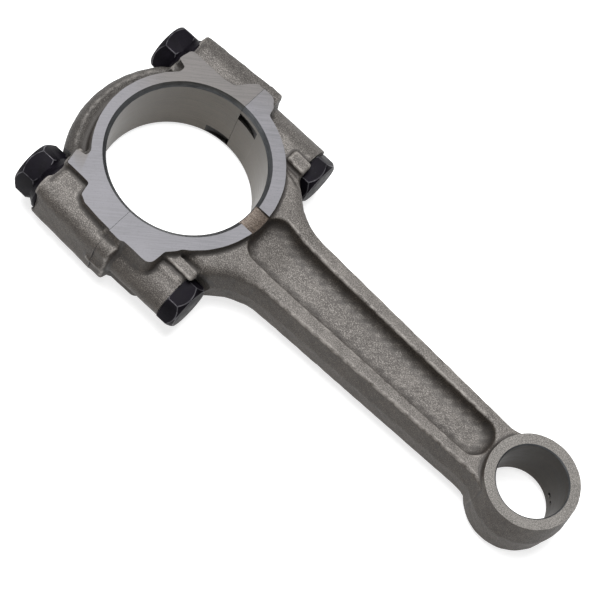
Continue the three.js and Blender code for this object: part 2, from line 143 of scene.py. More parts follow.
# What differs between the front boss, at +Y, and the rear one.
FRONT = {
    "boss_r": 9.5, "collar_half": 11.0, "cap_outer": 44.7, "cap_taper": 0.075,
    "ridge_y": 28.9, "ridge_half": 2.5, "ridge_x": 25.9, "ridge_reach": 3.9,
    "groove_r": 2.0, "groove_y": 25.0, "groove_turn": 0.3,
}
REAR = {
    "boss_r": 8.5, "collar_half": 10.4, "cap_outer": 43.9, "cap_taper": 0.04,
    "ridge_y": 28.3, "ridge_half": 2.0, "ridge_x": 22.5, "ridge_reach": 7.4,
    "groove_r": 1.15, "groove_y": 24.6, "groove_turn": 0.1,
}

# Metal left on for machining: half height at the faces, and past the split.
TALL = 15.7
SPARE = 1.1

# Fasteners.
HEAD_ACROSS_FLATS = 16
HEAD_HEIGHT = 6.4
HEAD_CHAMFER_LENGTH = 2.0
HEAD_TOP_R = 7.6
THREAD_START_X = -15
THREAD_PITCH = 1.25
SHANK_R = 4.95
THREAD_CORE_R = 4.35
THREAD_ROOT_R = 4.3
THREAD_CREST_R = 4.97
NUT_ACROSS_FLATS = 17
NUT_HEIGHT = 11.1
NUT_TOP_R = 7.9
NUT_HOLE_R = 5.05
FLANGE_HEIGHT = 3.7
FLANGE_R = 10.3
# Hexagon corners, in degrees about +X from +Y, for the bolt head and the nut on each side.
HEXAGON_TURNS = (("front", 1, 70, 59.4), ("rear", -1, 125, 197.9))
EDGE_BEVEL = 0.2
SLIVER = 0.08
# Where fastener edges take the brighter black oxide: part abraded finish, part painted highlight.
RUBBED_HIGHLIGHT_WIDTH = 0.28
RUBBED_HIGHLIGHT_FROM_R = 6.6
RUBBED_HIGHLIGHT_NUT_LENGTH = 3.9


# ---------------------------------------------------------------- distance fields
def smooth_min(a, b, k):
    h = np.clip(0.5 + 0.5 * (b - a) / k, 0, 1)
    return b * (1 - h) + a * h - k * h * (1 - h)


def smooth_max(a, b, k):
    return -smooth_min(-a, -b, k)


def step(t):
    t = np.clip(t, 0, 1)
    return t * t * (3 - 2 * t)


def polygon(x, y, points):
    """Signed distance to a closed outline in plan, negative inside."""
    x, y = np.broadcast_arrays(x, y)
    nearest = np.full(x.shape, 1e9)
    inside = np.zeros(x.shape, bool)
    for (ax, ay), (bx, by) in zip(points, np.roll(points, -1, axis=0)):
        ex, ey = bx - ax, by - ay
        if ex == 0 and ey == 0:
            continue
        wx, wy = x - ax, y - ay
        t = np.clip((wx * ex + wy * ey) / (ex * ex + ey * ey), 0, 1)
        nearest = np.minimum(nearest, (wx - ex * t) ** 2 + (wy - ey * t) ** 2)
        if ay != by:
            inside ^= ((ay > y) != (by > y)) & (x < ex * (y - ay) / ey + ax)
    return np.where(inside, -1, 1) * np.sqrt(nearest)


def rounded(corners, steps=8):
    """A closed outline from [x, y, corner radius]."""
    points = []
    n = len(corners)
    for i, (x, y, *more) in enumerate(corners):
        radius = more[0] if more else 0
        corner = np.array([x, y], float)
        if not radius:
            points.append(corner)
            continue
        back = np.array(corners[i - 1][:2], float) - corner
        ahead = np.array(corners[(i + 1) % n][:2], float) - corner
        back /= np.linalg.norm(back)
        ahead /= np.linalg.norm(ahead)
        half = math.acos(float(np.clip(back @ ahead, -1, 1))) / 2
        bisector = (back + ahead) / np.linalg.norm(back + ahead)
        centre = corner + bisector * radius / math.sin(half)
        start = corner + back * radius / math.tan(half) - centre
        end = corner + ahead * radius / math.tan(half) - centre
        a0 = math.atan2(start[1], start[0])
        turn = (math.atan2(end[1], end[0]) - a0 + math.pi) % (2 * math.pi) - math.pi
        for s in range(steps + 1):
            a = a0 + turn * s / steps
            points.append(centre + radius * np.array([math.cos(a), math.sin(a)]))
    return np.array(points)


def mirrored(half):
    """A closed outline from its lower half, listed from low x to high x."""
    half = np.array(half, float)
    return np.concatenate([half, (half * [1, -1])[::-1]])


def arc(cx, cy, radius, start, end, steps=14):
    a = np.radians(np.linspace(start, end, steps))
    return np.stack([cx + radius * np.cos(a), cy + radius * np.sin(a)], axis=1)


def rod_plan():
    at_big_end, start_x, shoulder_r = 14.6, 50.8, 25.0
    at_eye, fillet_r = 11.75, 12.0
    shoulder_y = at_big_end + shoulder_r
    fillet_y = at_eye + fillet_r
    fillet_x = CENTRE_DISTANCE - math.sqrt((EYE_MID_R + fillet_r) ** 2 - fillet_y**2)
    meet = math.degrees(math.atan2(fillet_y, CENTRE_DISTANCE - fillet_x))
    reach = math.degrees(math.acos((shoulder_y - BOLT_Y) / shoulder_r))
    lower = [[0, -BOLT_Y]]
    lower += arc(start_x, -shoulder_y, shoulder_r, 90 + reach, 90).tolist()
    lower += arc(fillet_x, -fillet_y, fillet_r, 90, meet).tolist()
    lower += [[CENTRE_DISTANCE, 0]]
    return mirrored(lower)


ROD_PLAN = rod_plan()
SHOULDER_PLAN = mirrored(
    [[-2, -25.8], [24, -25.8], [30, -25.4], [33, -23.6], [39.2, -18.4], [45.5, -15.4], [52.5, -14.2],
     [60, -13.8], [60, 0]]
)
POCKET_PLAN = rounded(
    [[33.7, -8.9, 5.5], [137.6, -7.3, 6.4], [137.6, 7.3, 6.4], [33.7, 8.9, 5.5]]
)
ROD_EAR_FRONT = rounded(
    [[-3, 20], [14, 20], [13, 29.6, 1], [8, 31.9, 1.6], [7, 35.6, 1.4], [4, 38.5, 1.6], [-3, 38.5]]
)
ROD_EAR_REAR = rounded(
    [[-3, -20], [-3, -38.3], [4.8, -38.3, 0.8], [6, -37.7, 0.8], [17.2, -37.6, 2.6], [17.7, -30.6, 1.6],
     [20.4, -27, 1.6], [22, -20]]
)
CAP_EAR_FRONT = rounded(
    [[-23, 18], [3, 18], [3, 38.4], [-2.6, 38.4, 1.2], [-5.2, 35.6, 1.6], [-7.6, 31.8, 2.2], [-12, 30.9, 3],
     [-26.5, 30.9, 1.8], [-27.5, 25.4, 0.6], [-23.8, 24.2, 0.8]]
)
CAP_EAR_REAR = rounded(
    [[-23, -18], [-23.7, -24.3, 0.7], [-27.2, -25.1, 0.5], [-26, -30.7, 0.6], [-16, -30.8, 1.2],
     [-15, -35.6, 1.4], [-12.2, -37.1, 1.6], [-3, -37.9], [3, -38.1], [3, -18]]
)


def forging_skin(x, y, z):
    """The slight unevenness that a forging keeps between its machined faces."""
    wave = np.sin(0.61 * x + 0.47 * y + 1.3) * np.sin(0.53 * y - 0.71 * z + 0.4)
    ripple = np.sin(1.37 * x - 0.83 * y + 0.6 * z) * np.sin(1.11 * y + 0.97 * z + 2.1)
    return 0.05 * wave + 0.03 * ripple


def by_side(y, name):
    return np.where(y > 0, FRONT[name], REAR[name])


def ear_field(x, y, az, outline):
    return polygon(x, y, outline) - (BIG_HALF_WIDTH - az) * FACE_SLOPE


def ring_field(rho, az, radius):
    return rho - radius - (BIG_HALF_WIDTH - az) * FACE_SLOPE


def shoulder_wedge(x, ay, az):
    """The metal that carries each boss up to its machined ear beside the split."""
    wedge = smooth_max(ay - WEDGE_Y - (BIG_HALF_WIDTH - az) * 0.5, np.abs(x - 1.6) - 3.6, 1.0)
    return smooth_max(wedge, 30 - ay, 0.5)


def beam_field(x, y, az, rho):
    """The I-section beam, thickened where it runs into the big end, with its two pockets."""
    plan = polygon(x, y, ROD_PLAN) + az * DRAFT
    beam = smooth_max(plan, az - BEAM_HALF_THICKNESS, BEAM_EDGE)
    top = BEAM_HALF_THICKNESS + SHOULDER_RISE * step((SHOULDER_RISE_R - rho) / SHOULDER_RISE_LENGTH)
    thick = polygon(x, y, SHOULDER_PLAN) + az * DRAFT
    beam = smooth_min(beam, smooth_max(thick, az - top, SHOULDER_EDGE), 1.2)
    pocket = polygon(x, y, POCKET_PLAN) + (BEAM_HALF_THICKNESS - az) * POCKET_SLOPE
    floor = WEB_HALF + WEB_RISE * step((WEB_RISE_X - x) / WEB_RISE_LENGTH)
    pocket = smooth_max(pocket, floor - az, POCKET_FILLET)
    return smooth_max(beam, -pocket, 0.8)


def ridge_field(x, y, ay, az):
    """The low rib between each bolt boss and the ground ring."""
    across = np.abs(ay - by_side(y, "ridge_y")) - by_side(y, "ridge_half")
    above = az - RIDGE_HALF_HEIGHT + 0.07 * np.clip(x - 17, 0, 20)
    ridge = smooth_max(across, above, 0.9)
    return smooth_max(ridge, np.abs(x - by_side(y, "ridge_x")) - by_side(y, "ridge_reach"), 1.4)


def groove_field(x, y, ay, az):
    """The hollow along that rib's inner side."""
    line = by_side(y, "groove_y")
    drift = np.clip(x - 24, -4, 8) * by_side(y, "groove_turn")
    groove = np.hypot(ay - line + drift, az - GROOVE_Z)
    return smooth_max(groove - by_side(y, "groove_r"), np.abs(x - HEAD_SEAT_X) - 5.5, 1.6)


def collar_field(x, y, ay, az):
    """The step beside the split that matches the cap's boss."""
    half = by_side(y, "collar_half")
    collar = smooth_max(np.abs(ay - BOSS_INNER_Y - half) - half, az - BOSS_HALF, BOSS_EDGE)
    return smooth_max(collar, x - 5.2 - 0.12 * (43.4 - ay), 0.9)


def rod_field(x, y, z):
    az = np.abs(z)
    ay = np.abs(y)
    rho = np.hypot(x, y)
    eye = np.hypot(x - CENTRE_DISTANCE, y) - EYE_MID_R + az * DRAFT
    body = smooth_min(beam_field(x, y, az, rho), eye, 0.9)
    barrel = np.hypot(ay - BOLT_Y, z) - by_side(y, "boss_r")
    body = smooth_min(body, smooth_max(barrel, x - HEAD_SEAT_X - 4, 1), 3.5)
    body = smooth_min(body, ridge_field(x, y, ay, az), 1.0)
    body = smooth_max(body, -groove_field(x, y, ay, az), 0.8)
    body = smooth_min(body, collar_field(x, y, ay, az), 1.1)
    body = smooth_min(body, shoulder_wedge(x, ay, az), 0.9)
    ears = np.minimum(ear_field(x, y, az, ROD_EAR_FRONT), ear_field(x, y, az, ROD_EAR_REAR))
    faces = smooth_min(ring_field(rho, az, ROD_FACE_R), ears, 0.8)
    body = smooth_min(body, faces, FACE_FILLET) + forging_skin(x, y, z)
    return np.maximum(body, np.maximum(az - TALL, -SPARE - x))


def strap_field(rho, az):
    """The cap's band, with the trough that runs along the ground ring."""
    n = STRAP_FULLNESS
    out = np.clip(rho - STRAP_ROOT_R, 0, None) / (STRAP_R - STRAP_ROOT_R)
    strap = ((out**n + (az / STRAP_HALF_WIDTH) ** n) ** (1 / n) - 1) * STRAP_HALF_WIDTH
    trough = np.hypot(rho - TROUGH_R, az - TROUGH_Z) - TROUGH_DEPTH
    return smooth_max(strap, -trough, 1.4)


def cap_boss_field(x, y, ay, az):
    outer = by_side(y, "cap_outer") + by_side(y, "cap_taper") * np.minimum(x, 0)
    boss = smooth_max(ay - outer, az - BOSS_HALF, BOSS_EDGE)
    shelf = smooth_max(ay - SHELF_Y - (12 - az) * 1.2, az - SHELF_HALF, 2.0)
    shelf = smooth_max(shelf, ay - outer, 3.0)
    boss = smooth_min(boss, smooth_max(shelf, NUT_SEAT_X + 1.5 - x, 1.5), 1.5)
    boss = smooth_max(boss, 22 - ay, 1)
    return smooth_max(boss, NUT_SEAT_X - 1.6 - x, 1)


def cap_field(x, y, z):
    az = np.abs(z)
    ay = np.abs(y)
    rho = np.hypot(x, y)
    body = smooth_min(strap_field(rho, az), ring_field(rho, az, CAP_FACE_R), FACE_FILLET)
    body = smooth_min(body, cap_boss_field(x, y, ay, az), 2.4)
    ears = np.minimum(ear_field(x, y, az, CAP_EAR_FRONT), ear_field(x, y, az, CAP_EAR_REAR))
    ears = np.minimum(smooth_max(ears, NUT_SEAT_X - 1.2 - x, 0.8), shoulder_wedge(x, ay, az))
    body = smooth_min(body, ears, FACE_FILLET) + forging_skin(x, y, z)
    return np.maximum(body, np.maximum(az - TALL, x - SPARE))


# ---------------------------------------------------------------- from a field to a mesh
def surface(field, low, high, pitch):
    """A closed quad mesh on the field's zero, one vertex to a grid cell, drawn onto the true surface."""
    axes = [np.arange(a, b + pitch, pitch) for a, b in zip(low, high)]
    values = field(axes[0][:, None, None], axes[1][None, :, None], axes[2][None, None, :])
    inside = values < 0
    cells = tuple(n - 1 for n in values.shape)
    total = np.zeros(cells + (3,))
    count = np.zeros(cells)
    quads = []
    cell_id = np.arange(np.prod(cells)).reshape(cells)
    for axis in range(3):
        b, c = (axis + 1) % 3, (axis + 2) % 3
        lo = [slice(None)] * 3
        hi = [slice(None)] * 3
        lo[axis], hi[axis] = slice(None, -1), slice(1, None)
        v0, v1 = values[tuple(lo)], values[tuple(hi)]
        i, j, k = np.nonzero(inside[tuple(lo)] != inside[tuple(hi)])
        at = np.stack([i, j, k], axis=1)
        t = v0[i, j, k] / (v0[i, j, k] - v1[i, j, k])
        point = at.astype(float)
        point[:, axis] += t
        ring = []
        for db, dc in ((0, 0), (-1, 0), (-1, -1), (0, -1)):
            cell = at.copy()
            cell[:, b] += db
            cell[:, c] += dc
            ok = np.all((cell >= 0) & (cell < cells), axis=1)
            good = cell[ok]
            np.add.at(total, tuple(good.T), point[ok])
            np.add.at(count, tuple(good.T), 1)
            ring.append(cell)
        whole = np.ones(len(at), bool)
        for cell in ring:
            whole &= np.all((cell >= 0) & (cell < cells), axis=1)
        face = np.stack([cell_id[tuple(cell[whole].T)] for cell in ring], axis=1)
        flip = ~inside[tuple(lo)][i, j, k][whole]
        face[flip] = face[flip][:, ::-1]
        quads.append(face)
    quads = np.concatenate(quads)
    used, index = np.unique(quads, return_inverse=True)
    where = np.unravel_index(used, cells)
    points = total[where] / count[where][:, None] * pitch + np.array([a[0] for a in axes])
    for _ in range(3):
        base = field(*points.T)
        eps = 0.02
        slope = np.stack(
            [field(*(points + eps * np.eye(3)[d]).T) - base for d in range(3)], axis=1
        ) / eps
        move = slope * (base / np.maximum((slope**2).sum(1), 0.2))[:, None]
        length = np.linalg.norm(move, axis=1, keepdims=True)
        points -= move * np.minimum(1, 0.5 * pitch / np.maximum(length, 1e-9))
    return points, index.reshape(quads.shape)


def place(points):
    return (np.asarray(points, float) + np.array(ORIGIN)) / MM


def make(name, points, faces):
    mesh = bpy.data.meshes.new(name)
    mesh.from_pydata(place(points).tolist(), [], [list(map(int, f)) for f in faces])
    mesh.validate()
    mesh.update()
    piece = bpy.data.objects.new(name, mesh)
    bpy.context.scene.collection.objects.link(piece)
    return piece


def turned(name, profile, segments, axis="z", centre=(0, 0, 0), shift=0.0):
    """A closed solid of revolution from (radius, height) pairs; a radius of 0 at both ends closes it."""
    points, faces = [], []
    rings = []
    for radius, height in profile:
        if radius == 0:
            rings.append([len(points)])
            points.append((0, 0, height))
            continue
        rings.append(list(range(len(points), len(points) + segments)))
        for s in range(segments):
            a = 2 * math.pi * (s + shift) / segments
            points.append((radius * math.cos(a), radius * math.sin(a), height))
    for one, two in zip(rings, rings[1:]):
        for s in range(segments):
            t = (s + 1) % segments
            face = [one[s % len(one)], one[t % len(one)], two[t % len(two)], two[s % len(two)]]
            face = list(dict.fromkeys(face))
            if len(face) > 2:
                faces.append(face)
    points = np.array(points)
    if axis == "x":
        points = points[:, [2, 0, 1]]
    return make(name, points + np.array(centre, float), faces)


def box(name, low, high):
    x0, y0, z0 = low
    x1, y1, z1 = high
    points = [(x, y, z) for x in (x0, x1) for y in (y0, y1) for z in (z0, z1)]
    faces = [(0, 1, 3, 2), (4, 6, 7, 5), (0, 4, 5, 1), (2, 3, 7, 6), (0, 2, 6, 4), (1, 5, 7, 3)]
    return make(name, points, faces)


def boolean(piece, tool, operation="DIFFERENCE"):
    before = len(piece.data.polygons)
    for solver in ("MANIFOLD", "EXACT"):
        modifier = piece.modifiers.new("cut", "BOOLEAN")
        modifier.operation = operation
        modifier.solver = solver
        modifier.object = tool
        bpy.context.view_layer.update()
        graph = bpy.context.evaluated_depsgraph_get()
        result = bpy.data.meshes.new_from_object(piece.evaluated_get(graph))
        piece.modifiers.remove(modifier)
        if len(result.polygons) > 0.05 * before and len(result.polygons) != before:
            break
        print("boolean fell back", piece.name, tool.name, solver, len(result.polygons))
    old = piece.data
    piece.data = result
    bpy.data.meshes.remove(old)


def cut(piece, *tools):
    for tool in tools:
        boolean(piece, tool)
        bpy.data.objects.remove(tool)


def sharpen(piece, degrees=32):
    bpy.context.view_layer.objects.active = piece
    for other in bpy.context.selected_objects:
        other.select_set(False)
    piece.select_set(True)
    bpy.ops.object.shade_smooth_by_angle(angle=math.radians(degrees))
    piece.select_set(False)


# ---------------------------------------------------------------- marks left on each mesh
def rod_painted_shade(x, y, z):
    """How far each part of the rod falls away from the light."""
    return 0.5 * step((y - 31) / 5)


def cap_painted_shade_and_reflection(x, y, z):
    """Painted shade for the cap on its strap and front boss, and a painted warm reflection tint on the front
    half of its ground face.
    """
    strap = step((np.hypot(x, y) - CAP_FACE_R) / 1.5) * step((30 - np.abs(y)) / 5)
    face = step((np.abs(z) - BIG_HALF_WIDTH + 0.4) / 0.3) * step((y + 0.5 * x + 18) / 26)
    return np.maximum(np.maximum(strap, 0.65 * step((y - 34) / 4)), face)


def mark(piece, field=None, tone=None):
    """Stores per point convexity, which brightens edges as part real edge abrasion and part painted highlight;
    hollowness, which darkens hollows as painted shade; slope ("flank"), which darkens steeply sloping sides as
    painted shade; and the tone function's painted shade, which is a painted warm reflection on ground faces.
    """
    mesh = piece.data
    co = np.empty(len(mesh.vertices) * 3)
    mesh.vertices.foreach_get("co", co)
    p = co.reshape(-1, 3) * MM - np.array(ORIGIN)
    convex_wear_and_highlight = flank = shade = np.zeros(len(p))
    if field is not None:
        eps = 0.7
        beyond = [field(*(p + eps * axis).T) for axis in np.eye(3)]
        before = [field(*(p - eps * axis).T) for axis in np.eye(3)]
        convex_wear_and_highlight = (sum(beyond) + sum(before) - 6 * field(*p.T)) / eps**2
        slope = np.array(beyond) - np.array(before)
        flank = 1 - np.abs(slope[2]) / np.maximum(np.linalg.norm(slope, axis=0), 1e-6)
        shade = tone(*p.T)
    marks = {"convex_wear_and_highlight": np.clip(convex_wear_and_highlight, 0, 1), "hollow_shade": np.clip(-convex_wear_and_highlight, 0, 1), "flank": flank, "tone": shade}
    for name, value in marks.items():
        layer = mesh.attributes.new(name, "FLOAT", "POINT")
        layer.data.foreach_set("value", value.astype(np.float32))


def face_data(piece):
    mesh = piece.data
    n = len(mesh.polygons)
    centre, normal = np.empty(n * 3), np.empty(n * 3)
    mesh.polygons.foreach_get("center", centre)
    mesh.polygons.foreach_get("normal", normal)
    return centre.reshape(-1, 3) * MM - np.array(ORIGIN), normal.reshape(-1, 3)


def paint(piece, materials, choose):
    """Gives each face the material whose place in materials choose(centres, normals) returns."""
    piece.data.materials.clear()
    for material in materials:
        piece.data.materials.append(material)
    centres, normals = face_data(piece)
    index = choose(centres, normals).astype(np.int32)
    piece.data.polygons.foreach_set("material_index", index)
    piece.data.update()


# ---------------------------------------------------------------- material building
def new_material(name):
    material = bpy.data.materials.new(name)
    material.use_nodes = True
    nodes, links = material.node_tree.nodes, material.node_tree.links
    shader = nodes["Principled BSDF"]
    where = nodes.new("ShaderNodeTexCoord").outputs["Object"]
    return material, nodes, links, shader, where


def mapped(nodes, links, where, scale, turn=0.0):
    mapping = nodes.new("ShaderNodeMapping")
    mapping.inputs["Scale"].default_value = scale
    if turn:
        spin = nodes.new("ShaderNodeVectorRotate")
        spin.rotation_type = "Z_AXIS"
        spin.inputs["Angle"].default_value = turn
        links.new(where, spin.inputs["Vector"])
        where = spin.outputs["Vector"]
    links.new(where, mapping.inputs["Vector"])
    return mapping.outputs["Vector"]


def noise(nodes, links, vector, scale, detail=3.0, rough=0.6):
    node = nodes.new("ShaderNodeTexNoise")
    node.inputs["Scale"].default_value = scale
    node.inputs["Detail"].default_value = detail
    node.inputs["Roughness"].default_value = rough
    links.new(vector, node.inputs["Vector"])
    return node.outputs["Fac"]


def spread(nodes, links, value, low, high, to_low=0.0, to_high=1.0):
    node = nodes.new("ShaderNodeMapRange")
    for name, number in (("From Min", low), ("From Max", high), ("To Min", to_low), ("To Max", to_high)):
        node.inputs[name].default_value = number
    links.new(value, node.inputs["Value"])
    return node.outputs["Result"]


def mix(nodes, links, factor, a, b, blend="MIX"):
    node = nodes.new("ShaderNodeMix")
    node.data_type = "RGBA"
    node.blend_type = blend
    for socket, value in ((node.inputs["Factor"], factor), (node.inputs["A"], a), (node.inputs["B"], b)):
        if isinstance(value, (int, float)):
            socket.default_value = value
        elif isinstance(value, tuple):
            socket.default_value = (*value, 1.0)
        else:
            links.new(value, socket)
    return node.outputs["Result"]


def bump(nodes, links, height, shader, distance, strength=1.0, after=None):
    node = nodes.new("ShaderNodeBump")
    node.inputs["Strength"].default_value = strength
    node.inputs["Distance"].default_value = distance
    links.new(height, node.inputs["Height"])
    if after is not None:
        links.new(after, node.inputs["Normal"])
    links.new(node.outputs["Normal"], shader.inputs["Normal"])
    return node.outputs["Normal"]


def attribute(nodes, name):
    node = nodes.new("ShaderNodeAttribute")
    node.attribute_name = name
    return node.outputs["Fac"]


def forged_steel(name, light, dark, fleck, metallic=0.2, rough=(0.5, 0.7), depth=0.00007, shaped=1.0):
    """A shot-blasted forging skin: peened grain and blotches, brighter edges that are part real abrasion and
    part painted highlight, and painted shade in hollows, on steeply sloping sides and where the tone mark is
    set.
    """
    material, nodes, links, shader, where = new_material(name)
    blotch = noise(nodes, links, where, 90, 4, 0.6)
    grain = noise(nodes, links, where, 2900, 3, 0.6)
    fine = noise(nodes, links, where, 4600, 2, 0.5)
    colour = mix(nodes, links, spread(nodes, links, blotch, 0.36, 0.66), dark, light)
    speck = spread(nodes, links, grain, 0.51, 0.66, 0.0, 0.9)
    colour = mix(nodes, links, speck, colour, fleck)
    pit = spread(nodes, links, grain, 0.48, 0.34, 0.0, 0.85)
    colour = mix(nodes, links, pit, colour, tuple(0.45 * c for c in dark))
    # Painted shade: steeply sloping sides are darkened as if less lit.
    steep_side_shade = spread(nodes, links, attribute(nodes, "flank"), 0.1, 0.7, 0.0, shaped)
    colour = mix(nodes, links, steep_side_shade, colour, (0.4, 0.36, 0.32), "MULTIPLY")
    # Painted shade: faces that the tone mark picks out are darkened as if turned away from the light.
    facing_away_shade = spread(nodes, links, attribute(nodes, "tone"), 0.0, 1.0, 0.0, shaped)
    colour = mix(nodes, links, facing_away_shade, colour, (0.5, 0.5, 0.5), "MULTIPLY")
    # Painted shade: hollows and creases are darkened as if the light reached them less.
    hollow = spread(nodes, links, attribute(nodes, "hollow_shade"), 0.05, 0.42, 0.0, 0.85 * shaped)
    colour = mix(nodes, links, hollow, colour, tuple(0.5 * c for c in dark))
    # Convex edges are brightened: part real abrasion of the skin, part painted highlight.
    edge = nodes.new("ShaderNodeMath")
    edge.operation = "MULTIPLY"
    worn_and_highlit = spread(nodes, links, attribute(nodes, "convex_wear_and_highlight"), 0.35, 0.95, 0.0, 0.5 * shaped)
    links.new(worn_and_highlit, edge.inputs[0])
    links.new(spread(nodes, links, noise(nodes, links, where, 420, 3), 0.36, 0.6), edge.inputs[1])
    colour = mix(nodes, links, edge.outputs[0], colour, tuple(min(1, 1.35 * c) for c in fleck))
    links.new(colour, shader.inputs["Base Color"])
    shader.inputs["Metallic"].default_value = metallic
    shader.inputs["Specular IOR Level"].default_value = 0.3
    links.new(spread(nodes, links, fine, 0.3, 0.7, *rough), shader.inputs["Roughness"])
    first = bump(nodes, links, grain, shader, depth, 0.9)
    bump(nodes, links, fine, shader, depth * 0.45, 0.8, first)
    return material


def ground_steel(name, light, dark, turn, stretch, metallic=0.8, rough=(0.3, 0.42), depth=0.000004, lines=2200,
                 gloss=0.5):
    """A ground or bored face: fine straight or round tool lines over a soft variation, tinted warmer where the
    tone mark is set as a painted reflection.
    """
    material, nodes, links, shader, where = new_material(name)
    along = mapped(nodes, links, where, stretch, turn)
    line = noise(nodes, links, along, lines, 3, 0.7)
    cloud = noise(nodes, links, where, 60, 4, 0.55)
    colour = mix(nodes, links, spread(nodes, links, cloud, 0.35, 0.68), dark, light)
    colour = mix(
        nodes, links, spread(nodes, links, line, 0.38, 0.66, 0.0, 0.8), colour, tuple(1.35 * c for c in light)
    )
    grain = noise(nodes, links, where, 1500, 2)
    colour = mix(
        nodes, links, spread(nodes, links, grain, 0.56, 0.72, 0.0, 0.35), colour, tuple(0.72 * c for c in dark)
    )
    # Painted reflection: a warm tint where the tone mark is set.
    colour = mix(nodes, links, attribute(nodes, "tone"), colour, (0.8, 0.75, 0.66), "MULTIPLY")
    links.new(colour, shader.inputs["Base Color"])
    shader.inputs["Metallic"].default_value = metallic
    shader.inputs["Specular IOR Level"].default_value = gloss
    links.new(spread(nodes, links, line, 0.25, 0.75, *rough), shader.inputs["Roughness"])
    bump(nodes, links, line, shader, depth, 0.6)
    return material


def black_oxide(name, light, dark, rough=(0.42, 0.6)):
    """Blackened fastener steel with a slight violet tone and handling marks; a brighter copy of it colours
    narrow edge bevels, part abraded finish and part painted highlight.
    """
    material, nodes, links, shader, where = new_material(name)
    cloud = noise(nodes, links, where, 260, 4, 0.6)
    fine = noise(nodes, links, where, 1900, 3, 0.6)
    colour = mix(nodes, links, spread(nodes, links, cloud, 0.35, 0.68), dark, light)
    colour = mix(
        nodes, links, spread(nodes, links, fine, 0.6, 0.78, 0.0, 0.5), colour, tuple(2.4 * c for c in light)
    )
    links.new(colour, shader.inputs["Base Color"])
    shader.inputs["Metallic"].default_value = 0.2
    shader.inputs["Specular IOR Level"].default_value = 0.04
    links.new(spread(nodes, links, cloud, 0.3, 0.7, *rough), shader.inputs["Roughness"])
    bump(nodes, links, fine, shader, 0.00002, 0.6)
    return material


FORGED = forged_steel("forged_skin", (0.112, 0.102, 0.094), (0.072, 0.065, 0.06), (0.235, 0.22, 0.204))
EYE_FACE = forged_steel(
    "eye_face_blasted", (0.135, 0.126, 0.117), (0.098, 0.092, 0.085), (0.235, 0.222, 0.208),
    0.25, (0.45, 0.6), 0.00004, shaped=0.0,
)
GROUND = ground_steel(
    "ground_face", (0.094, 0.092, 0.101), (0.074, 0.073, 0.08), -0.724, (0.05, 1.0, 0.05),
    0.3, (0.42, 0.55), lines=1500,
)
BORED = ground_steel(
    "bored_wall", (0.07, 0.059, 0.045), (0.048, 0.041, 0.031), 0.0, (0.04, 0.04, 1.0),
    0.3, (0.3, 0.46), 0.000006, 2600, 0.25,
)
CHAMFERED = ground_steel(
    "bore_chamfer", (0.1, 0.105, 0.11), (0.06, 0.062, 0.066), 0.0, (0.1, 0.1, 1.0), 0.8, (0.3, 0.45)
)
NOTCHED = forged_steel(
    "notch_floor", (0.12, 0.095, 0.078), (0.075, 0.06, 0.05), (0.24, 0.21, 0.185), 0.4, (0.55, 0.75)
)
# Painted shade: the tang slots' walls are given a near-black colour for the shade that fills them.
SLOT_PAINTED_SHADE = forged_steel("slot_wall_painted_shade", (0.012, 0.011, 0.01), (0.006, 0.0055, 0.005), (0.03, 0.028, 0.025))
BUSH = ground_steel(
    "bush_bore", (0.032, 0.026, 0.02), (0.016, 0.013, 0.0105), 0.0, (0.04, 0.04, 1.0),
    0.2, (0.4, 0.55), 0.000006, 1800, 0.1,
)
BLACK = black_oxide("black_oxide", (0.0065, 0.0056, 0.0082), (0.003, 0.0026, 0.0038))
# Painted highlight, partly abraded finish: a brighter black oxide for the narrow edge bevels.
RUBBED_AND_HIGHLIGHT = black_oxide("black_oxide_rubbed_and_highlight", (0.085, 0.083, 0.09), (0.02, 0.019, 0.022), (0.3, 0.45))


# ---------------------------------------------------------------- the forgings
def z_faces(piece, low_x, high_x, half):
    for side in (1, -1):
        low, high = sorted((side * half, side * FAR))
        cut(piece, box("cutter", (low_x, -FAR, low), (high_x, FAR, high)))


def bore_cutter():
    straight, flare = BIG_HALF_WIDTH - BORE_CHAMFER, 5
    profile = [
        (0, -straight - flare),
        (BIG_BORE_R + flare, -straight - flare),
        (BIG_BORE_R, -straight),
        (BIG_BORE_R, straight),
        (BIG_BORE_R + flare, straight + flare),
        (0, straight + flare),
    ]
    return turned("cutter", profile, 240)


def tang_cutter(centre_z):
    radius, low, high = TANG_CUTTER_R, centre_z - TANG_HALF_WIDTH, centre_z + TANG_HALF_WIDTH
    profile = [(0, low), (radius, low), (radius, high), (0, high)]
    return turned("cutter", profile, 120, centre=(0, BIG_BORE_R + TANG_DEPTH - radius, 0))


def bolt_drill(side):
    profile = [(0, -FAR), (BOLT_HOLE_R, -FAR), (BOLT_HOLE_R, FAR), (0, FAR)]
    return turned("cutter", profile, CUTTER_SEGMENTS, "x", (0, side * BOLT_Y, 0))


def spotface(radius, face, away, side):
    """A counterbore whose floor meets its wall in a small radius; away is +1 or -1 along X."""
    corner = POCKET_CORNER_R
    profile = [(0, face)]
    for i in range(5):
        a = math.pi / 2 * i / 4
        profile.append((radius - corner + corner * math.sin(a), face + away * corner * (1 - math.cos(a))))
    profile += [(radius, face + away * FAR), (0, face + away * FAR)]
    if away < 0:
        profile.reverse()
    return turned("cutter", profile, CUTTER_SEGMENTS, "x", (0, side * BOLT_Y, 0))


def oil_drill(angle, radius):
    start, end = OIL_HOLE_REACH
    tool = turned("cutter", [(0, start), (radius, start), (radius, end), (0, end)], 32, "x")
    points = np.array([v.co for v in tool.data.vertices]) * MM - np.array(ORIGIN)
    c, s = math.cos(math.radians(angle)), math.sin(math.radians(angle))
    moved = points @ np.array([[c, s, 0], [-s, c, 0], [0, 0, 1]]) + np.array([CENTRE_DISTANCE, 0, OIL_HOLE_Z])
    for vertex, co in zip(tool.data.vertices, place(moved)):
        vertex.co = co
    return tool


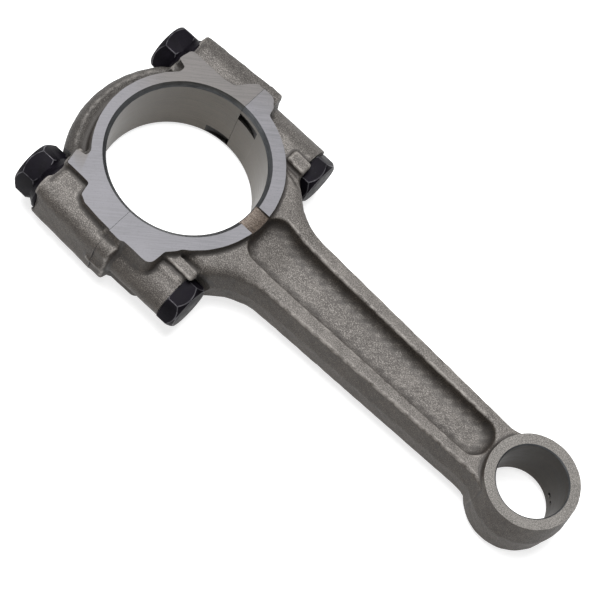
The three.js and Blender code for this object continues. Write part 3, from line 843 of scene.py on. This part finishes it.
SKIN, RING, BORE, CHAMFER, NOTCH, SLOT, EYE = range(7)
FORGING_MATERIALS = [FORGED, GROUND, BORED, CHAMFERED, NOTCHED, SLOT_PAINTED_SHADE, EYE_FACE]


def machined_zones(centres, normals):
    """Which of FORGING_MATERIALS each face takes."""
    x, y, z = centres.T
    nx, nz = np.abs(normals[:, 0]), np.abs(normals[:, 2])
    rho = np.hypot(x, y)
    radial = np.abs((centres[:, 0] * normals[:, 0] + centres[:, 1] * normals[:, 1]) / np.maximum(rho, 1e-6))
    az = np.abs(z)
    zone = np.full(len(x), SKIN)
    zone[(np.abs(az - BIG_HALF_WIDTH) < 0.03) & (nz > 0.98)] = RING
    zone[(np.abs(x) < SPLIT_GAP) & (nx > 0.98)] = RING
    inner = rho < BIG_BORE_R + BORE_CHAMFER + 0.1
    zone[inner & (rho < BIG_BORE_R + 0.1) & (radial > 0.98)] = BORE
    zone[inner & (nz > 0.5) & (nz < 0.9) & (az > BIG_HALF_WIDTH - 1.5)] = CHAMFER
    on_notch = (np.abs(y) < NOTCH_HALF_WIDTH + 0.1) & (x > 20) & (x < 36)
    zone[on_notch & (np.abs(az - NOTCH_FLOOR_Z) < 0.1) & (nz > 0.95)] = NOTCH
    # Slot walls take the near-black painted-shade material.
    zone[inner & (rho > BIG_BORE_R + 0.02) & (az < 13.25) & (y > 15) & (np.abs(x) > SPLIT_GAP)] = SLOT
    zone[(np.abs(az - EYE_HALF_WIDTH) < 0.03) & (nz > 0.98) & (x > EYE_X[0])] = EYE
    zone[(np.hypot(x - CENTRE_DISTANCE, y) < BUSH_OUTER_R + 0.1) & (nz < 0.1)] = BORE
    return zone


def finish_forging(piece, field, tone, body, node):
    sharpen(piece)
    mark(piece, field, tone)
    paint(piece, FORGING_MATERIALS, machined_zones)
    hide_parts(node)
    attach(piece, body)


def build_rod():
    rod = make("rod_forging", *surface(rod_field, *ROD_GRID, GRID))
    z_faces(rod, -FAR, BIG_END_TO_X, BIG_HALF_WIDTH)
    z_faces(rod, *EYE_X, EYE_HALF_WIDTH)
    cut(rod, box("cutter", (-FAR, -FAR, -FAR), (SPLIT_GAP / 2, FAR, FAR)))
    for side in (1, -1):
        cut(rod, spotface(HEAD_POCKET_R, HEAD_SEAT_X, 1, side))
        cut(rod, bolt_drill(side))
        low, high = sorted((side * NOTCH_FLOOR_Z, side * FAR))
        notch = box("cutter", (NOTCH_X[0], -NOTCH_HALF_WIDTH, low), (NOTCH_X[1], NOTCH_HALF_WIDTH, high))
        cut(rod, notch)
    cut(rod, bore_cutter(), tang_cutter(ROD_TANG_Z))
    housing_r = BUSH_OUTER_R + HOUSING_GAP
    profile = [(0, -FAR), (housing_r, -FAR), (housing_r, FAR), (0, FAR)]
    cut(rod, turned("cutter", profile, 160, centre=(CENTRE_DISTANCE, 0, 0)))
    cut(rod, *[oil_drill(angle, radius) for angle, radius in OIL_HOLES])
    finish_forging(rod, rod_field, rod_painted_shade, "rod", "rod")


def build_cap():
    cap = make("big_end_cap_forging", *surface(cap_field, *CAP_GRID, GRID))
    z_faces(cap, -FAR, FAR, BIG_HALF_WIDTH)
    cut(cap, box("cutter", (-SPLIT_GAP / 2, -FAR, -FAR), (FAR, FAR, FAR)))
    for side in (1, -1):
        cut(cap, spotface(NUT_POCKET_R, NUT_SEAT_X, -1, side))
        cut(cap, bolt_drill(side))
    cut(cap, bore_cutter(), tang_cutter(CAP_TANG_Z))
    finish_forging(cap, cap_field, cap_painted_shade_and_reflection, "cap", "big_end_cap")


def build_bush():
    half, edge = EYE_HALF_WIDTH - BUSH_SHORT, BUSH_EDGE
    bush = turned(
        "small_end_bush_sleeve",
        [
            (PIN_BORE_R, -half + edge),
            (PIN_BORE_R + edge, -half),
            (BUSH_OUTER_R, -half),
            (BUSH_OUTER_R, half),
            (PIN_BORE_R + edge, half),
            (PIN_BORE_R, half - edge),
            (PIN_BORE_R, -half + edge),
        ],
        192,
        centre=(CENTRE_DISTANCE, 0, 0),
    )
    cut(bush, *[oil_drill(angle, radius) for angle, radius in OIL_HOLES])
    sharpen(bush)
    mark(bush)

    def zones(centres, normals):
        nz = np.abs(normals[:, 2])
        return np.where(nz > 0.95, 1, np.where(nz > 0.4, 2, 0))

    paint(bush, [BUSH, EYE_FACE, CHAMFERED], zones)
    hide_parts("small_end_bush")
    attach(bush, "rod")


# ---------------------------------------------------------------- fasteners
def corner_radius(across_flats):
    return across_flats / 2 / math.cos(math.pi / 6)


def hexagon(name, across_flats, start, end, corner_angle):
    radius = corner_radius(across_flats)
    profile = [(0, start), (radius, start), (radius, end), (0, end)]
    return turned(name, profile, 6, "x", shift=math.radians(corner_angle) / (2 * math.pi) * 6)


def combine(piece, profile, segments, operation):
    """Booleans a solid turned about the bolt's axis into a piece."""
    tool = turned("cutter", profile, segments, "x")
    boolean(piece, tool, operation)
    bpy.data.objects.remove(tool)


def bevel(piece):
    shape = bmesh.new()
    shape.from_mesh(piece.data)
    bmesh.ops.remove_doubles(shape, verts=shape.verts, dist=SLIVER / MM)
    shape.to_mesh(piece.data)
    shape.free()
    modifier = piece.modifiers.new("bevel", "BEVEL")
    modifier.use_clamp_overlap = False
    modifier.width = EDGE_BEVEL / MM
    modifier.segments = 2
    modifier.limit_method = "ANGLE"
    modifier.angle_limit = math.radians(18)
    modifier.harden_normals = False
    bpy.context.view_layer.update()
    graph = bpy.context.evaluated_depsgraph_get()
    result = bpy.data.meshes.new_from_object(piece.evaluated_get(graph))
    piece.modifiers.remove(modifier)
    piece.data = result


def helix(radius_low, radius_high, start, end, pitch):
    """One thread ridge as a closed triangular tube round the X axis, fading out at both ends."""
    steps_per_turn, fade_steps, half_width = 40, 20, 0.6
    turns = (end - start) / pitch
    n = int(turns * steps_per_turn)
    points, faces = [], []
    for i in range(n + 1):
        a = 2 * math.pi * turns * i / n
        x = start + (end - start) * i / n
        fade = min(1.0, i / fade_steps, (n - i) / fade_steps)
        crest = radius_low + (radius_high - radius_low) * fade
        sunk = radius_low - 0.15
        for r, dx in ((sunk, -half_width), (crest, 0), (sunk, half_width)):
            points.append((x + dx, r * math.cos(a), r * math.sin(a)))
    for i in range(n):
        for k in range(3):
            a, b = 3 * i + k, 3 * i + (k + 1) % 3
            faces.append((a, b, b + 3, a + 3))
    faces += [(2, 1, 0), (3 * n, 3 * n + 1, 3 * n + 2)]
    return make("thread", points, faces)


def join(target, *others):
    with bpy.context.temp_override(
        active_object=target, object=target, selected_objects=[target, *others],
        selected_editable_objects=[target, *others],
    ):
        bpy.ops.object.join()


def slender(mesh, width):
    """Which faces are narrow strips: the small bevels along the edges."""
    narrow = np.zeros(len(mesh.polygons), bool)
    for face in mesh.polygons:
        longest = max((mesh.vertices[a].co - mesh.vertices[b].co).length for a, b in face.edge_keys)
        narrow[face.index] = face.area < longest * width / MM
    return narrow


def finish_fastener(piece, side, body, node):
    piece.data.transform(Matrix.Translation((0, side * BOLT_Y / MM, 0)))
    sharpen(piece, 28)
    mark(piece)
    narrow = slender(piece.data, RUBBED_HIGHLIGHT_WIDTH)

    # Narrow bevels on the head and nut ends take the brighter black oxide: part abraded finish, part painted
    # highlight.
    def rubbed_and_highlit(centres, normals):
        x, y, z = centres.T
        outside = np.hypot(y - side * BOLT_Y, z) > RUBBED_HIGHLIGHT_FROM_R
        head = (x > HEAD_SEAT_X) | (x < NUT_SEAT_X - RUBBED_HIGHLIGHT_NUT_LENGTH)
        return np.where(outside & head & narrow, 1, 0)

    paint(piece, [BLACK, RUBBED_AND_HIGHLIGHT], rubbed_and_highlit)
    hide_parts(node)
    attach(piece, body)


def build_bolt(label, side, corner_angle):
    seat, top = HEAD_TOP_X - HEAD_HEIGHT, HEAD_TOP_X
    head = hexagon(f"cap_bolt_{label}_screw", HEAD_ACROSS_FLATS, seat, top, corner_angle)
    corner_r = corner_radius(HEAD_ACROSS_FLATS)
    outer_r = corner_r + 0.02
    chamfered = [(0, seat), (corner_r - 0.5, seat), (outer_r, seat + 0.5), (outer_r, top - HEAD_CHAMFER_LENGTH),
                 (HEAD_TOP_R, top), (0, top)]
    combine(head, chamfered, 128, "INTERSECT")
    bevel(head)
    end, neck = BOLT_END_X, seat + 1
    profile = [(0, end), (3.6, end), (THREAD_CORE_R, end + 0.7), (THREAD_CORE_R, THREAD_START_X),
               (SHANK_R, THREAD_START_X + 1), (SHANK_R, neck), (0, neck)]
    shank = turned("shank", profile, 64, "x")
    thread = helix(THREAD_ROOT_R, THREAD_CREST_R, end + 1.0, THREAD_START_X, THREAD_PITCH)
    join(head, shank, thread)
    finish_fastener(head, side, f"bolt_{label}", f"cap_bolt_{label}")


def build_nut(label, side, corner_angle):
    seat = NUT_SEAT_X - SEAT_GAP
    top = seat - NUT_HEIGHT
    base = seat - FLANGE_HEIGHT
    root = base + 1.4
    nut = hexagon(f"cap_nut_{label}_hex", NUT_ACROSS_FLATS, top, root, corner_angle)
    outer_r, foot_r = corner_radius(NUT_ACROSS_FLATS) + 0.02, 8.3
    chamfered = [(0, top), (NUT_TOP_R, top), (outer_r, top + 2.2), (outer_r, base - 0.7), (foot_r, base + 0.8),
                 (foot_r, root), (0, root)]
    combine(nut, chamfered, 128, "INTERSECT")
    flange = [(0, base - 0.3), (8.2, base - 0.3), (8.7, base + 0.3), (9.9, seat - 1.5), (FLANGE_R, seat - 1.1),
              (FLANGE_R, seat), (0, seat)]
    combine(nut, flange, 128, "UNION")
    bell_r = NUT_HOLE_R + 2.6
    hole = [(0, top - 2), (bell_r, top - 2), (NUT_HOLE_R, top + 0.6), (NUT_HOLE_R, seat - 0.6),
            (bell_r, seat + 2), (0, seat + 2)]
    combine(nut, hole, CUTTER_SEGMENTS, "DIFFERENCE")
    bevel(nut)
    finish_fastener(nut, side, f"nut_{label}", f"cap_nut_{label}")


build_rod()
build_cap()
build_bush()
for label, side, head_corner, nut_corner in HEXAGON_TURNS:
    build_bolt(label, side, head_corner)
    build_nut(label, side, nut_corner)


# ---------------------------------------------------------------- floor, camera and light
FLOOR_GLOW = 0.72
CAMERA_AT = (0.06571, -0.31647, 0.67786)
CAMERA_RIGHT = (0.7299, 0.6458, 0.2238)
CAMERA_BACK = (0.0998, -0.4247, 0.8998)
LENS_MM = 132.7
SENSOR_MM = 36
SURROUND_LIGHT = 0.25


def build_floor():
    mesh = bpy.data.meshes.new("floor")
    size, drop = 6.0, 0.0002
    corners = [(-size, -size, 0), (size, -size, 0), (size, size, 0), (-size, size, 0)]
    mesh.from_pydata(corners, [], [(0, 1, 2, 3)])
    floor = bpy.data.objects.new("floor", mesh)
    floor.location.z = -drop
    bpy.context.scene.collection.objects.link(floor)
    material, nodes, links, shader, where = new_material("floor_paper")
    cloud = noise(nodes, links, where, 3, 2)
    colour = mix(nodes, links, spread(nodes, links, cloud, 0.3, 0.7), (0.5, 0.5, 0.5), (0.54, 0.54, 0.54))
    links.new(colour, shader.inputs["Base Color"])
    shader.inputs["Roughness"].default_value = 0.9
    shader.inputs["Emission Color"].default_value = (1, 1, 1, 1)
    shader.inputs["Emission Strength"].default_value = FLOOR_GLOW
    mesh.materials.append(material)


def build_camera():
    data = bpy.data.cameras.new("camera")
    data.lens = LENS_MM
    data.sensor_width = SENSOR_MM
    data.clip_start = 0.01
    camera = bpy.data.objects.new("camera", data)
    bpy.context.scene.collection.objects.link(camera)
    right = Vector(CAMERA_RIGHT).normalized()
    back = Vector(CAMERA_BACK).normalized()
    up = back.cross(right).normalized()
    right = up.cross(back)
    turn = Matrix((right, up, back)).transposed().to_4x4()
    camera.matrix_world = Matrix.Translation(CAMERA_AT) @ turn
    bpy.context.scene.camera = camera


def area_light(name, direction, distance, size, power):
    data = bpy.data.lights.new(name, "AREA")
    data.shape = "RECTANGLE"
    data.size, data.size_y = size
    data.energy = power
    light = bpy.data.objects.new(name, data)
    towards = Vector(direction).normalized()
    light.location = towards * distance
    light.rotation_euler = towards.to_track_quat("Z", "Y").to_euler()
    bpy.context.scene.collection.objects.link(light)


build_floor()
build_camera()
area_light("key", (-0.22, 0.08, 1.0), 1.5, (1.0, 1.0), 44)
area_light("low", (-0.5, -1.0, 0.45), 1.6, (1.0, 0.5), 1.5)

world = bpy.data.worlds.new("studio")
world.use_nodes = True
background = world.node_tree.nodes["Background"]
background.inputs["Color"].default_value = (1, 1, 1, 1)
background.inputs["Strength"].default_value = SURROUND_LIGHT
scene = bpy.context.scene
scene.world = world
scene.view_settings.view_transform = "Standard"
